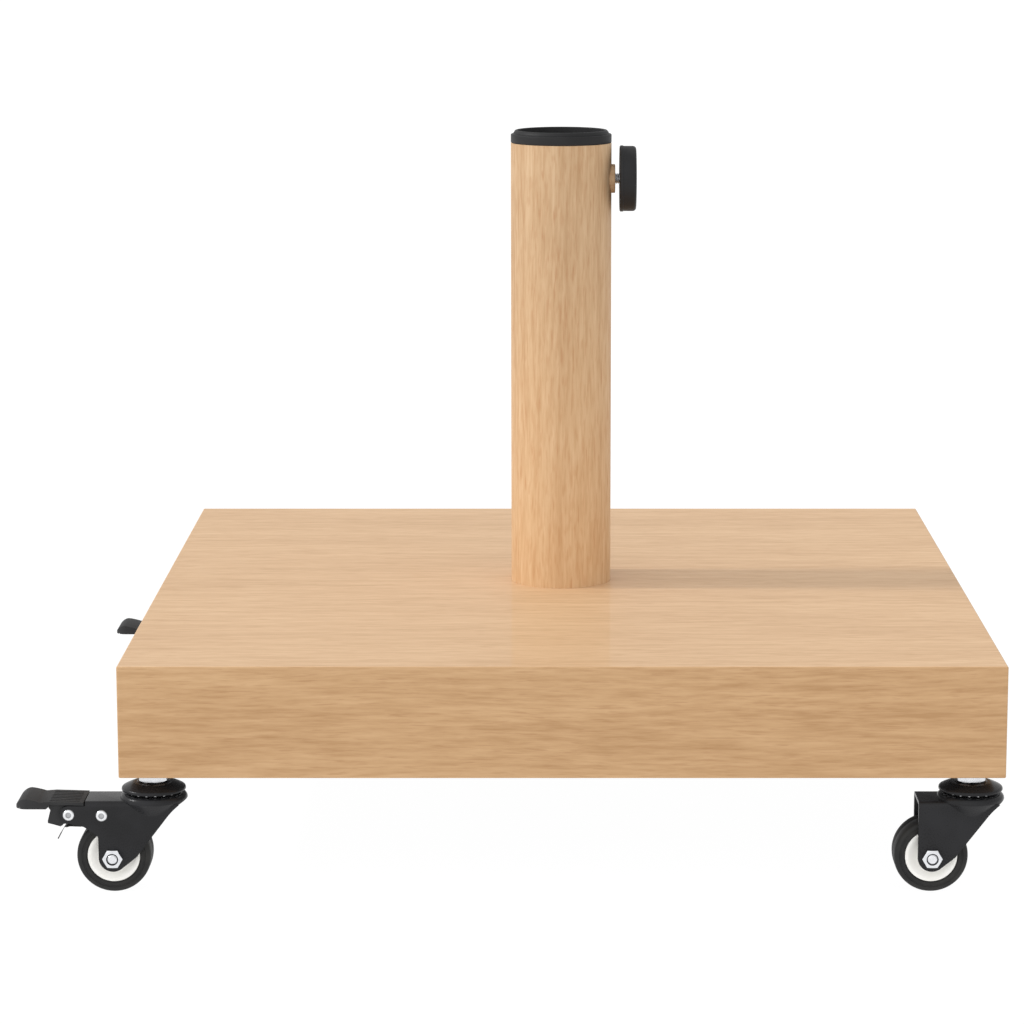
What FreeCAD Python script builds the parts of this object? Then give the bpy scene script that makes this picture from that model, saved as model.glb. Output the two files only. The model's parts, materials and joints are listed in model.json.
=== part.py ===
import FreeCAD, Part

import math
import os

from FreeCAD import Vector

# Rolling parasol base: a weighted square box on four swivel casters, with a tube for the parasol's pole.
# Millimetres. The origin is on the floor under the post's axis, +Z up, and the front faces -Y.

# Base box
base_side = 450.0
base_height = 58.0
underside = 62.0                     # the base's underside above the floor
board = 9.0                          # aprons and bottom panel
top_thick = 12.0
arris = 0.8                          # rounding of the outer edges
block_side = 40.0                    # corner blocks
base_top = underside + base_height
inner_half = base_side / 2 - board   # the box's inside, from the middle to an apron
floor_top = underside + board        # upper face of the bottom panel
ceiling = base_top - top_thick

# Fasteners of the box and the flange
bolt_radius = 3.0
bolt_hole = 3.1
bolt_head_radius = 8.0
bolt_head_height = 2.6
bolt_past_flange = 9.0
flange_nut_flats = 10.0
flange_nut_height = 6.0
flange_nut_skirt = 6.5
panel_screw_length = 27.0
panel_screw_radius = 1.75
panel_screw_head = 3.6

# Weights
slab_height = 33.0
slab_gap = 2.0
flange_notch = 65.0                  # half the square left free round the post's flange
drain_radius = 5.0

# Post and its flange
post_radius = 28.0
post_wall = 1.5
post_bore = post_radius - post_wall
post_top = 367.0
flange_side = 120.0
flange_thick = 5.0
flange_corner = 8.0
flange_bolt_offset = 48.0
flange_top = floor_top + flange_thick

# Collar, and the ring that centres the pole's foot
pole_bore = 24.25
sleeve_gap = 0.1
sleeve_depth = 50.0
rim_height = 4.8
lip_height = 7.0
foot_ring_height = 20.0

# Clamp
clamp_height = post_top - 20.0
boss_radius = 8.0
boss_reach = 30.0                    # outer face of the boss, from the post's axis
spigot_radius = 5.0                  # the boss's neck in the tube's wall
thread_radius = 3.0
running = 0.05                       # radial clearance of a running fit
pad_tip = 24.4
pad_radius = 2.6
pad_pin = 1.2
pad_pin_end = 27.0
screw_tip = 25.7
screw_end = 38.5
knob_inner = 32.5
knob_outer = 41.7
knob_radius = 18.35

# Casters: X from the stem's axis, Z from the base's underside, the wheel trails towards -X
caster_offset = 209.0
stem_radius = 4.0
stem_length = 25.0
insert_hole_top = underside + stem_length + 3
insert_radius = 5.5
lock_nut_flats = 14.0
lock_nut_height = 5.0
shoulder_radius = 6.2                # the stem's thick part, which carries the dome
kingpin_radius = 3.5
kingpin_foot_radius = 5.4
kingpin_foot_top = -14.0
kingpin_end = -15.8
washer_radius = 7.5
dome_radius = 16.4
dome_base = -9.6
dome_skin = 1.2
sheet = 1.8
race_top = -11.1                     # top of the fork's raised ball race
web_top = -13.5
fork_half = 12.0
cheek_inner = fork_half - sheet
head_radius = 17.2
head_waist = -14.3                   # where the head's skirt starts to narrow
head_skirt_base = -21.0
ball_radius = 1.25
ball_circle = 13.6
ball_count = 20
fork_rear = -27.5
lobe_radius = 7.2
axle_x = -20.3
axle_z = -43.0

# Wheel and axle
wheel_radius = 19.0
tread_half = 6.0
tyre_half = 8.5
tyre_bore = 13.4
hub_half = 9.5
hub_rim_half = 8.0
hub_dish_half = 6.2
sleeve_radius = 3.5
axle_radius = 2.5
axle_nut_flats = 9.0
axle_nut_height = 3.0
axle_head_flats = 8.0
axle_head_height = 3.5

# Brake
brake_rear = -34.0
ear_radius = 4.6
rivet_radius = 2.0
rivet_head = 3.0
pedal_pivot = (-42.4, -20.3)
leaf_pivot = (-25.6, -20.7)
pedal_half = 12.5
pedal_nose = -69.6
pedal_rear = -34.6
pedal_rim_base = -17.2
pedal_skin = 1.5
wing_outer = 9.8
wing_inner = 8.1
leaf_half = 6.0
leaf_thick = 0.9
prong_inner = 1.6
prong_outer = 4.6

X_AXIS = Vector(1, 0, 0)
Y_AXIS = Vector(0, 1, 0)
Z_AXIS = Vector(0, 0, 1)
ORIGIN = Vector(0, 0, 0)
CORNERS = {
    "front_left": (-1, -1),
    "front_right": (1, -1),
    "back_left": (-1, 1),
    "back_right": (1, 1),
}
BRAKED = ("front_left", "back_left")


def block(low, high):
    size = [b - a for a, b in zip(low, high)]
    return Part.makeBox(*size, Vector(*low))


def cylinder(radius, start, end, axis=Z_AXIS, centre=ORIGIN):
    return Part.makeCylinder(radius, end - start, centre + axis * start, axis)


def ring(outer, inner, start, end, axis=Z_AXIS, centre=ORIGIN):
    return cylinder(outer, start, end, axis, centre).cut(cylinder(inner, start, end, axis, centre))


def side_point(pair):
    return Vector(pair[0], 0, pair[1])


def face(start, *steps):
    """A closed face in the XZ plane. A step is the next corner, or an arc's middle and end in a list."""
    here = side_point(start)
    edges = []
    for step in steps + (start,):
        if isinstance(step, list):
            middle, end = (side_point(pair) for pair in step)
            edges.append(Part.Arc(here, middle, end).toShape())
        else:
            end = side_point(step)
            edges.append(Part.LineSegment(here, end).toShape())
        here = end
    return Part.Face(Part.Wire(edges))


def turned(section):
    """A section in X and Z, spun round Z."""
    return section.revolve(ORIGIN, Z_AXIS, 360)


def across(section, half):
    """A section in X and Z, made as wide as half on each side of Y = 0."""
    section.translate(Vector(0, -half, 0))
    return section.extrude(Vector(0, 2 * half, 0))


def pair_of_plates(section, inner, outer):
    """The same section as two plates, one on each side of Y = 0."""
    plate = across(section, outer)
    return plate.cut(block((-100, -inner, -100), (100, inner, 100)))


def hexagon(flats, height, corner_angle):
    """A hexagonal prism from Z = 0 upwards, with one corner at corner_angle from +X."""
    reach = flats / math.sqrt(3)
    turns = [math.radians(corner_angle + 60 * n) for n in range(7)]
    corners = [Vector(reach * math.cos(a), reach * math.sin(a), 0) for a in turns]
    return Part.Face(Part.makePolygon(corners)).extrude(Vector(0, 0, height))


def chamfered_hexagon(flats, height, corner_angle):
    """A hexagonal prism whose corners are turned off at both ends, as on a nut."""
    reach = flats / math.sqrt(3)
    flat = flats / 2 * 0.96
    drop = (reach - flat) * math.tan(math.radians(30))
    disc = turned(face((0, 0), (flat, 0), (reach, drop),
                       (reach, height - drop), (flat, height), (0, height)))
    return hexagon(flats, height, corner_angle).common(disc)


def laid_on_y(shape, end):
    """Turns a shape that stands on Z so that it points along -Y and starts at Y = end."""
    shape.rotate(ORIGIN, X_AXIS, 90)
    shape.translate(Vector(0, end, 0))
    return shape


def at_axle(shape):
    shape.translate(Vector(axle_x, 0, axle_z))
    return shape


def at_corner(shape, corner):
    """Places a caster's part under one corner of the base."""
    placed = shape.copy()
    side, end = CORNERS[corner]
    placed.translate(Vector(side * caster_offset, end * caster_offset, underside))
    return placed


def at_all_corners(shape):
    return Part.makeCompound([at_corner(shape, corner) for corner in CORNERS])


def save(node, shape):
    """Writes one node, as one solid or as a group of separate solids."""
    clean = shape.removeSplitter() if len(shape.Solids) == 1 else shape
    solids = clean.Solids
    if not solids or not all(solid.isValid() for solid in solids):
        raise ValueError(node + " is not a valid solid")
    result = solids[0] if len(solids) == 1 else Part.makeCompound(solids)
    result.exportStep(os.path.join("parts", node + ".step"))
    print(node, len(solids), "solid(s),", round(result.Volume / 1000, 2), "cm3")


# Base box

def eased_box():
    """The whole base's outside, with its edges eased. Every outer board is cut to it."""
    half = base_side / 2
    outside = block((-half, -half, underside), (half, half, base_top))
    return outside.makeFillet(arris, outside.Edges)


def top_wedge(half, depth):
    """A square plate's mitred border: full size at the base's top, and depth smaller below."""
    upper = Part.makePolygon(square(half, base_top))
    lower = Part.makePolygon(square(half - depth, base_top - depth))
    return Part.makeLoft([upper, lower], True, True)


def square(half, height):
    corners = ((-half, -half), (half, -half), (half, half), (-half, half), (-half, -half))
    return [Vector(x, y, height) for x, y in corners]


def top_panel(outside):
    half = base_side / 2
    panel = top_wedge(half, board)
    middle = block((-inner_half, -inner_half, ceiling), (inner_half, inner_half, base_top - board))
    panel = panel.fuse(middle)
    panel = panel.cut(cylinder(post_radius + 0.1, ceiling - 1, base_top + 1))
    return panel.common(outside)


def front_apron(outside):
    """The front board, mitred to the top panel along its upper edge and to its neighbours at its ends."""
    half = base_side / 2
    section = Part.Face(Part.makePolygon([
        Vector(-half, -half, underside),
        Vector(-half, -half, base_top),
        Vector(-half, -inner_half, base_top - board),
        Vector(-half, -inner_half, underside),
        Vector(-half, -half, underside),
    ]))
    bar = section.extrude(Vector(base_side, 0, 0))
    plan = Part.Face(Part.makePolygon([
        Vector(-half, -half, underside),
        Vector(half, -half, underside),
        Vector(inner_half, -inner_half, underside),
        Vector(-inner_half, -inner_half, underside),
        Vector(-half, -half, underside),
    ]))
    return bar.common(plan.extrude(Vector(0, 0, base_height))).common(outside)


def save_aprons(outside):
    front = front_apron(outside)
    for n, name in enumerate(("front", "right", "back", "left")):
        apron = front.copy()
        apron.rotate(ORIGIN, Z_AXIS, 90 * n)
        save(name + "_apron", apron)


def flange_bolt_places():
    signs = ((-1, -1), (1, -1), (1, 1), (-1, 1))
    return [Vector(a * flange_bolt_offset, b * flange_bolt_offset, 0) for a, b in signs]


def panel_screw_places():
    """Two screws up into each corner block, beside the caster's insert."""
    far = inner_half - 10
    near = inner_half - block_side + 8
    return [Vector(a * x, b * y, 0) for a, b in CORNERS.values() for x, y in ((far, near), (near, far))]


def caster_places():
    return [Vector(side * caster_offset, end * caster_offset, 0) for side, end in CORNERS.values()]


def bottom_panel():
    panel = block((-inner_half, -inner_half, underside), (inner_half, inner_half, floor_top))
    panel = panel.cut(cylinder(drain_radius, underside, floor_top))
    for place in flange_bolt_places():
        panel = panel.cut(cylinder(bolt_hole, underside, floor_top, Z_AXIS, place))
    for centre in caster_places():
        panel = panel.cut(cylinder(insert_radius, underside, floor_top, Z_AXIS, centre))
    return panel.cut(Part.makeCompound(panel_screw_solids()))


def corner_blocks():
    far = inner_half
    near = inner_half - block_side
    whole = block((near, near, floor_top), (far, far, ceiling))
    whole = whole.cut(cylinder(insert_radius, floor_top, insert_hole_top, Z_AXIS, caster_places()[-1]))
    blocks = []
    for side, end in CORNERS.values():
        solid = mirrored(whole, side, end)
        blocks.append(solid.cut(Part.makeCompound(panel_screw_solids())))
    return Part.makeCompound(blocks)


def mirrored(shape, side, end):
    """A copy in the quarter of the plan that side and end name."""
    if side < 0:
        shape = shape.mirror(ORIGIN, X_AXIS)
    return shape.mirror(ORIGIN, Y_AXIS) if end < 0 else shape


def panel_screw_solids():
    radius = panel_screw_radius
    screw = turned(face(
        (0, 0),
        (panel_screw_head, 0),
        (radius, panel_screw_head - radius),
        (radius, panel_screw_length - 3),
        (0, panel_screw_length),
    ))
    return [moved(screw, place + Vector(0, 0, underside)) for place in panel_screw_places()]


def weight_slabs():
    """Two cast slabs, left and right, notched for the corner blocks and the post's flange."""
    limit = inner_half - slab_gap
    notch = inner_half - block_side - slab_gap
    slab_top = floor_top + slab_height
    right = block((slab_gap / 2, -limit, floor_top), (limit, limit, slab_top))
    right = right.cut(block((0, -flange_notch, floor_top), (flange_notch, flange_notch, slab_top)))
    for low, high in ((-limit, -notch), (notch, limit)):
        right = right.cut(block((notch, low, floor_top), (limit, high, slab_top)))
    left = right.copy()
    left.rotate(ORIGIN, Z_AXIS, 180)
    return Part.makeCompound([left, right])


# Post

def clamp_hole(radius, reach=post_radius):
    centre = Vector(0, 0, clamp_height)
    return cylinder(radius, pole_bore - 5, reach + 5, X_AXIS, centre)


def post_tube():
    tube = ring(post_radius, post_bore, flange_top, post_top)
    return tube.cut(clamp_hole(spigot_radius))


def post_flange():
    half = flange_side / 2
    plate = block((-half, -half, floor_top), (half, half, flange_top))
    upright = [edge for edge in plate.Edges if abs(edge.tangentAt(edge.FirstParameter).z) > 0.5]
    plate = plate.makeFillet(flange_corner, upright)
    plate = plate.cut(cylinder(drain_radius, floor_top, flange_top))
    for place in flange_bolt_places():
        plate = plate.cut(cylinder(bolt_hole, floor_top, flange_top, Z_AXIS, place))
    return plate


def flange_bolts():
    """Carriage bolts: a low domed head under the bottom panel, and a shank up through the flange."""
    tip = flange_top + bolt_past_flange
    crown = underside - bolt_head_height
    bolt = turned(face(
        (0, crown),
        (1.0, crown),
        [(bolt_head_radius - 2.8, crown + 0.7), (bolt_head_radius, underside)],
        (bolt_radius, underside),
        (bolt_radius, tip - 0.6),
        (bolt_radius - 0.6, tip),
        (0, tip),
    ))
    return Part.makeCompound([moved(bolt, place) for place in flange_bolt_places()])


def flange_nuts():
    nut = chamfered_hexagon(flange_nut_flats, flange_nut_height, 0)
    nut = nut.fuse(cylinder(flange_nut_skirt, 0, 1.2)).cut(cylinder(bolt_radius, 0, flange_nut_height))
    nut.translate(Vector(0, 0, flange_top))
    return Part.makeCompound([moved(nut, place) for place in flange_bolt_places()])


def moved(shape, step):
    copy = shape.copy()
    copy.translate(step)
    return copy


def pole_collar():
    """Rim and lip on the tube's end, with a sleeve down inside that guides the pole."""
    sleeve = post_bore - sleeve_gap
    section = face(
        (pole_bore, post_top - sleeve_depth),
        (sleeve, post_top - sleeve_depth),
        (sleeve, post_top),
        (post_radius - 0.5, post_top),
        [(post_radius - 0.15, post_top + 0.15), (post_radius, post_top + 0.5)],
        (post_radius, post_top + rim_height - 0.6),
        [(post_radius - 0.18, post_top + rim_height - 0.18), (post_radius - 0.6, post_top + rim_height)],
        (post_radius - 1.3, post_top + rim_height),
        (post_radius - 1.5, post_top + rim_height + 0.5),
        (post_radius - 2.3, post_top + lip_height - 0.4),
        [(post_radius - 2.55, post_top + lip_height - 0.1), (post_radius - 2.9, post_top + lip_height)],
        (pole_bore + 0.5, post_top + lip_height),
        (pole_bore, post_top + lip_height - 0.5),
    )
    return turned(section).cut(clamp_hole(thread_radius + 0.6))


def foot_ring():
    section = face(
        (pole_bore, flange_top),
        (post_bore - sleeve_gap, flange_top),
        (post_bore - sleeve_gap, flange_top + foot_ring_height),
        (pole_bore + 1.8, flange_top + foot_ring_height),
        (pole_bore, flange_top + foot_ring_height - 5),
    )
    return turned(section)


# Clamp

def clamp_boss():
    """A threaded boss welded to the tube, with a spigot through its wall."""
    centre = Vector(0, 0, clamp_height)
    head = cylinder(boss_radius, pole_bore, boss_reach, X_AXIS, centre)
    rim = [edge for edge in head.Edges if edge.BoundBox.XMin > boss_reach - 0.01]
    head = head.makeFillet(0.5, rim).cut(cylinder(post_radius, 0, post_top + 10))
    spigot = cylinder(spigot_radius, pole_bore, boss_reach - 1, X_AXIS, centre)
    spigot = spigot.cut(cylinder(post_bore, 0, post_top + 10))
    return head.fuse(spigot).cut(clamp_hole(thread_radius + running))


def laid_on_x(shape):
    """Turns a shape that stands on Z so that it points along +X at the clamp's height."""
    shape.rotate(ORIGIN, Y_AXIS, 90)
    shape.translate(Vector(0, 0, clamp_height))
    return shape


def pressure_pad():
    """A swivelling tip with a pin that sits in the screw's end."""
    section = face(
        (0, pad_tip),
        (pad_radius - 0.5, pad_tip),
        [(pad_radius - 0.15, pad_tip + 0.15), (pad_radius, pad_tip + 0.5)],
        (pad_radius, screw_tip - running),
        (pad_pin, screw_tip - running),
        (pad_pin, pad_pin_end),
        (0, pad_pin_end),
    )
    return laid_on_x(turned(section))


def clamp_screw():
    section = face(
        (pad_pin + running, screw_tip),
        (thread_radius - 0.4, screw_tip),
        (thread_radius, screw_tip + 0.4),
        (thread_radius, screw_end),
        (0, screw_end),
        (0, pad_pin_end + 0.2),
        (pad_pin + running, pad_pin_end + 0.2),
    )
    return laid_on_x(turned(section))


def clamp_knob():
    """A plain round knob with a thin flange on its inner side."""
    flange = knob_inner + 2.0
    section = face(
        (thread_radius, knob_inner),
        (knob_radius - 1.0, knob_inner),
        [(knob_radius - 0.25, knob_inner + 0.25), (knob_radius, knob_inner + 1.0)],
        (knob_radius, flange - 0.2),
        (knob_radius - 0.3, flange),
        (knob_radius - 0.3, knob_outer - 1.6),
        [(knob_radius - 0.75, knob_outer - 0.45), (knob_radius - 1.9, knob_outer)],
        (knob_radius - 4.0, knob_outer),
        [(10.0, knob_outer - 0.5), (3.0, knob_outer - 0.8)],
        (0, knob_outer - 0.8),
        (0, screw_end),
        (thread_radius, screw_end),
    )
    return laid_on_x(turned(section))


# Casters: the parts fixed to the base

def caster_insert():
    return ring(insert_radius, stem_radius, 0, stem_length - 3).cut(
        cylinder(stem_radius + 0.6, -0.5, 0.5))


def lock_nut():
    nut = chamfered_hexagon(lock_nut_flats, lock_nut_height, 90)
    nut = nut.cut(cylinder(stem_radius, 0, lock_nut_height))
    return moved(nut, Vector(0, 0, -lock_nut_height))


def caster_stem():
    """The threaded stem and the kingpin in one: a shoulder carries the dome, and the foot is riveted."""
    return turned(face(
        (0, stem_length),
        (stem_radius - 0.8, stem_length),
        (stem_radius, stem_length - 0.8),
        (stem_radius, -lock_nut_height - 1.2),
        (shoulder_radius, -lock_nut_height - 1.2),
        (shoulder_radius, race_top + 0.2),
        (kingpin_radius, race_top + 0.2),
        (kingpin_radius, kingpin_foot_top),
        (kingpin_foot_radius, kingpin_foot_top),
        [(kingpin_foot_radius - 0.8, kingpin_foot_top - 1.1), (2.0, kingpin_end)],
        (0, kingpin_end),
    ))


def caster_dome():
    """The pressed cap over the ball race."""
    top = -lock_nut_height
    return turned(face(
        (stem_radius, top),
        (10.6, top),
        [(13.9, top - 1.9), (16.0, dome_base + 1.6)],
        [(dome_radius, dome_base + 0.8), (15.9, dome_base)],
        (15.2, dome_base),
        (15.1, dome_base + 1.0),
        [(13.3, top - 2.5), (10.2, top - dome_skin)],
        (stem_radius, top - dome_skin),
    ))


def ball_race():
    ball = Part.makeSphere(ball_radius)
    centre_height = race_top + 0.15 + ball_radius
    balls = []
    for n in range(ball_count):
        angle = 2 * math.pi * (n + 0.5) / ball_count
        place = Vector(ball_circle * math.cos(angle), ball_circle * math.sin(angle), centre_height)
        balls.append(moved(ball, place))
    return Part.makeCompound(balls)


def kingpin_washer():
    return ring(washer_radius, kingpin_radius, kingpin_foot_top, race_top - sheet - 0.15)


# Casters: the fork

def lobe_tangent(corner):
    """Where a line from the corner, given from the axle, touches the lobe's lower right side."""
    reach = math.hypot(*corner)
    slope = math.atan2(corner[1], corner[0]) + math.asin(lobe_radius / reach)
    angle = slope - math.pi / 2
    return (lobe_radius * math.cos(angle), lobe_radius * math.sin(angle))


def from_axle(x, z):
    return (axle_x + x, axle_z + z)


def front_edge():
    """The cheek's outline from under the axle, up its sloping front edge, to the head."""
    corner = (12.0, 0.4)
    return [
        [from_axle(0, -lobe_radius), from_axle(*lobe_tangent(corner))],
        from_axle(*corner),
        from_axle(27.9, 21.3),
        [from_axle(30.9, 24.8), from_axle(34.2, 27.8)],
        (head_radius + 0.2, web_top - 0.2),
        (head_radius + 0.2, race_top + 1),
    ]


def plain_outline():
    return face((fork_rear, race_top + 1), (fork_rear, axle_z), *front_edge())


def braked_outline():
    """The cheek with two ears towards the rear that carry the brake."""
    px, pz = pedal_pivot
    return face(
        (brake_rear, race_top + 1),
        (brake_rear, pz + ear_radius),
        (px, pz + ear_radius),
        [(px - ear_radius, pz), (px, pz - ear_radius)],
        (-34.7, -26.6),
        (-28.6, -30.8),
        [(-27.8, -31.8), (fork_rear, -33.2)],
        (fork_rear, axle_z),
        *front_edge(),
    )


def fork_channel():
    """Web and cheeks as one bent channel, before it is cut to its outline."""
    low = -60.0
    rear = pedal_pivot[0] - ear_radius - 1
    outer = block((rear, -fork_half, low), (head_radius, fork_half, web_top))
    inner = block((rear, -cheek_inner, low), (head_radius, cheek_inner, web_top - sheet))
    outer = outer.makeFillet(2.8, edges_along_x(outer, web_top))
    inner = inner.makeFillet(1.0, edges_along_x(inner, web_top - sheet))
    return outer.cut(inner)


def edges_along_x(shape, height):
    return [edge for edge in shape.Edges
            if abs(edge.tangentAt(edge.FirstParameter).x) > 0.5 and edge.BoundBox.ZMin > height - 0.01]


def fork_head():
    """The raised round ball race, with a skirt that runs down into the cheeks."""
    head = turned(face(
        (kingpin_radius + running, race_top),
        (14.6, race_top),
        [(16.5, race_top - 0.85), (head_radius, race_top - 2.8)],
        (head_radius, head_waist),
        (fork_half, head_skirt_base),
        (cheek_inner, head_skirt_base),
        (head_radius - sheet, head_waist),
        [(head_radius - sheet - 0.5, race_top - 2.4), (13.8, race_top - sheet)],
        (kingpin_radius + running, race_top - sheet),
    ))
    return head.cut(block((-20, -cheek_inner, -30), (20, cheek_inner, web_top - sheet)))


def head_hollow():
    """The room inside the head, which the channel leaves open."""
    return turned(face(
        (0, race_top - sheet),
        (head_radius - sheet, race_top - sheet),
        (head_radius - sheet, head_waist),
        (cheek_inner, head_skirt_base),
        (0, head_skirt_base),
    ))


def fork(braked):
    outline = braked_outline() if braked else plain_outline()
    blank = across(outline, head_radius + 1)
    channel = fork_channel().cut(head_hollow())
    beyond = block((0, -30, web_top - sheet), (head_radius + 1, 30, 0)).cut(cylinder(head_radius, -60, 0))
    shape = channel.cut(beyond).fuse(fork_head()).common(blank)
    shape = shape.cut(at_axle(cylinder(axle_radius, -20, 20, Y_AXIS)))
    if braked:
        for x, z in (pedal_pivot, leaf_pivot):
            shape = shape.cut(cylinder(rivet_radius, -20, 20, Y_AXIS, Vector(x, 0, z)))
    return shape


# Casters: axle and wheel

def axle_bolt():
    head = chamfered_hexagon(axle_head_flats, axle_head_height, 0)
    shank = cylinder(axle_radius, 0, 2 * fork_half + axle_nut_height + 0.3)
    shank = shank.makeChamfer(0.5, [edge for edge in shank.Edges if edge.BoundBox.ZMin > 2 * fork_half])
    head.translate(Vector(0, 0, -axle_head_height))
    return at_axle(laid_on_y(head.fuse(shank), fork_half))


def axle_nut():
    """A lock nut: a hexagon with a thin round collar at its outer end."""
    nut = chamfered_hexagon(axle_nut_flats, axle_nut_height - 0.4, 0)
    nut = nut.fuse(cylinder(3.7, 0, axle_nut_height)).cut(cylinder(axle_radius, 0, axle_nut_height))
    recess = cylinder(axle_radius + 0.6, axle_nut_height - 0.8, axle_nut_height)
    return at_axle(laid_on_y(nut.cut(recess), -fork_half))


def axle_sleeve():
    return at_axle(ring(sleeve_radius, axle_radius, -cheek_inner, cheek_inner, Y_AXIS))


def on_axle(section):
    """A section of radius and width, spun round the axle."""
    shape = turned(section)
    shape.rotate(ORIGIN, X_AXIS, 90)
    return at_axle(shape)


def hub():
    return on_axle(face(
        (sleeve_radius + running, -hub_half),
        (5.8, -hub_half),
        (6.4, -hub_dish_half),
        (8.0, -hub_dish_half),
        [(10.4, -hub_dish_half - 0.5), (12.2, -hub_rim_half)],
        (tyre_bore - 0.4, -hub_rim_half),
        (tyre_bore, -hub_rim_half + 0.4),
        (tyre_bore, hub_rim_half - 0.4),
        (tyre_bore - 0.4, hub_rim_half),
        (12.2, hub_rim_half),
        [(10.4, hub_dish_half + 0.5), (8.0, hub_dish_half)],
        (6.4, hub_dish_half),
        (5.8, hub_half),
        (sleeve_radius + running, hub_half),
    ))


def tyre():
    shoulder = wheel_radius - 3.0
    return on_axle(face(
        (tyre_bore, -7.6),
        (tyre_bore + 0.7, -8.3),
        (shoulder, -tyre_half),
        [(wheel_radius - 0.8, -7.7), (wheel_radius, -tread_half)],
        (wheel_radius, tread_half),
        [(wheel_radius - 0.8, 7.7), (shoulder, tyre_half)],
        (tyre_bore + 0.7, 8.3),
        (tyre_bore, 7.6),
    ))


# Casters: brake

def rivet():
    """A rivet through both ears, with a low dimpled head on each side."""
    head = fork_half + 0.9
    section = face(
        (0, -head + 0.7),
        (1.1, -head + 0.7),
        (1.5, -head),
        [(2.6, -head + 0.35), (rivet_head, -fork_half)],
        (rivet_radius, -fork_half),
        (rivet_radius, fork_half),
        (rivet_head, fork_half),
        [(2.6, head - 0.35), (1.5, head)],
        (1.1, head - 0.7),
        (0, head - 0.7),
    )
    shape = turned(section)
    shape.rotate(ORIGIN, X_AXIS, 90)
    return shape


def brake_rivets():
    return Part.makeCompound([moved(rivet(), Vector(x, 0, z)) for x, z in (pedal_pivot, leaf_pivot)])


def pedal_plan():
    """The tread's shape from above: round corners at the nose."""
    plan = block((pedal_nose, -pedal_half, -30), (pedal_rear, pedal_half, 0))
    upright = [edge for edge in plan.Edges
               if abs(edge.tangentAt(edge.FirstParameter).z) > 0.5 and edge.BoundBox.XMax < pedal_nose + 1]
    return plan.makeFillet(6.0, upright)


def pedal_tread():
    """The long profile of the tread as a skin: a hump at the nose, then a flat that runs to the fork."""
    return across(face(
        (pedal_nose - 0.9, pedal_rim_base),
        (pedal_nose, -16.1),
        [(-67.6, -13.2), (-64.2, -12.0)],
        [(-60.2, -12.7), (-56.6, -13.7)],
        (-51.4, -13.3),
        (pedal_rear, -13.8),
        (pedal_rear, -13.8 - pedal_skin),
        (-51.4, -13.3 - pedal_skin),
        [(-60.2, -14.3), (-64.0, -13.7)],
        [(-66.4, -14.4), (-67.8, pedal_rim_base)],
    ), pedal_half + 1)


def pedal_rims():
    """Down-turned rims along both sides of the nose."""
    section = face(
        (pedal_nose, pedal_rim_base),
        (pedal_nose, -16.1),
        [(-67.6, -13.2), (-64.2, -12.0)],
        [(-60.2, -12.7), (-56.6, -13.7)],
        (-52.6, -13.6),
        (-52.6, -16.2),
        (-53.8, pedal_rim_base),
    )
    return pair_of_plates(section, pedal_half - 1.4, pedal_half)


def pedal_wings():
    """Two cheeks inside the fork's ears, which turn on the rivet."""
    section = face(
        (-52.8, -14.4),
        (-52.8, -17.0),
        (-51.9, -18.3),
        (-53.3, -23.8),
        (-53.3, -25.1),
        (-50.2, -25.9),
        (-46.8, -26.9),
        (-45.4, -25.6),
        (-41.0, -24.8),
        [(-38.2, -23.2), (-37.6, -20.3)],
        (-37.6, -14.6),
    )
    return pair_of_plates(section, wing_inner, wing_outer)


def brake_pedal():
    rib = across(face((-55.0, -14.2), (-51.4, -13.05), (-37.0, -13.5), (-37.0, -14.2)), 0.6)
    ribs = [moved(rib, Vector(0, y, 0)) for y in (-9, -6, -3, 0, 3, 6, 9)]
    shape = pedal_tread().fuse([pedal_rims()] + ribs).common(pedal_plan())
    bar = cylinder(0.9, -wing_inner - 0.5, wing_inner + 0.5, Y_AXIS, Vector(-46.6, 0, -25.9))
    shape = shape.fuse([pedal_wings(), bar])
    px, pz = pedal_pivot
    return shape.cut(cylinder(rivet_radius + running, -20, 20, Y_AXIS, Vector(px, 0, pz)))


def brake_leaf():
    """A spring steel strip on the second rivet. Its bend is the shoe, and two prongs form its tail."""
    lx, lz = leaf_pivot
    eye = rivet_radius + running + leaf_thick
    strip = across(face(
        (lx - eye, lz + 0.4),
        (-33.7, -26.3),
        (-37.0, -27.2),
        (-42.6, -27.0),
        (-45.2, -27.9),
        (-49.3, -34.6),
        (-48.8, -34.9),
        (-45.7, -28.8),
        (-42.6, -27.9),
        (-37.0, -28.1),
        (-33.0, -27.1),
        (lx - eye + 1.0, lz - 1.0),
    ), leaf_half)
    strip = strip.cut(block((-60, -prong_inner, -40), (-44.5, prong_inner, -20)))
    for side in (-1, 1):
        low, high = sorted((side * prong_outer, side * (leaf_half + 1)))
        strip = strip.cut(block((-60, low, -40), (-44.5, high, -20)))
    centre = Vector(lx, 0, lz)
    barrel = cylinder(eye, -leaf_half, leaf_half, Y_AXIS, centre)
    return strip.fuse(barrel).cut(cylinder(rivet_radius + running, -20, 20, Y_AXIS, centre))


def save_box():
    outside = eased_box()
    save("top_panel", top_panel(outside))
    save_aprons(outside)
    save("bottom_panel", bottom_panel())
    save("corner_blocks", corner_blocks())
    save("panel_screws", Part.makeCompound(panel_screw_solids()))
    save("weight_slabs", weight_slabs())


def save_post():
    save("post_tube", post_tube())
    save("post_flange", post_flange())
    save("flange_bolts", flange_bolts())
    save("flange_nuts", flange_nuts())
    save("pole_collar", pole_collar())
    save("pole_foot_ring", foot_ring())


def save_clamp():
    save("clamp_boss", clamp_boss())
    save("pressure_pad", pressure_pad())
    save("clamp_screw", clamp_screw())
    save("clamp_knob", clamp_knob())


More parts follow.
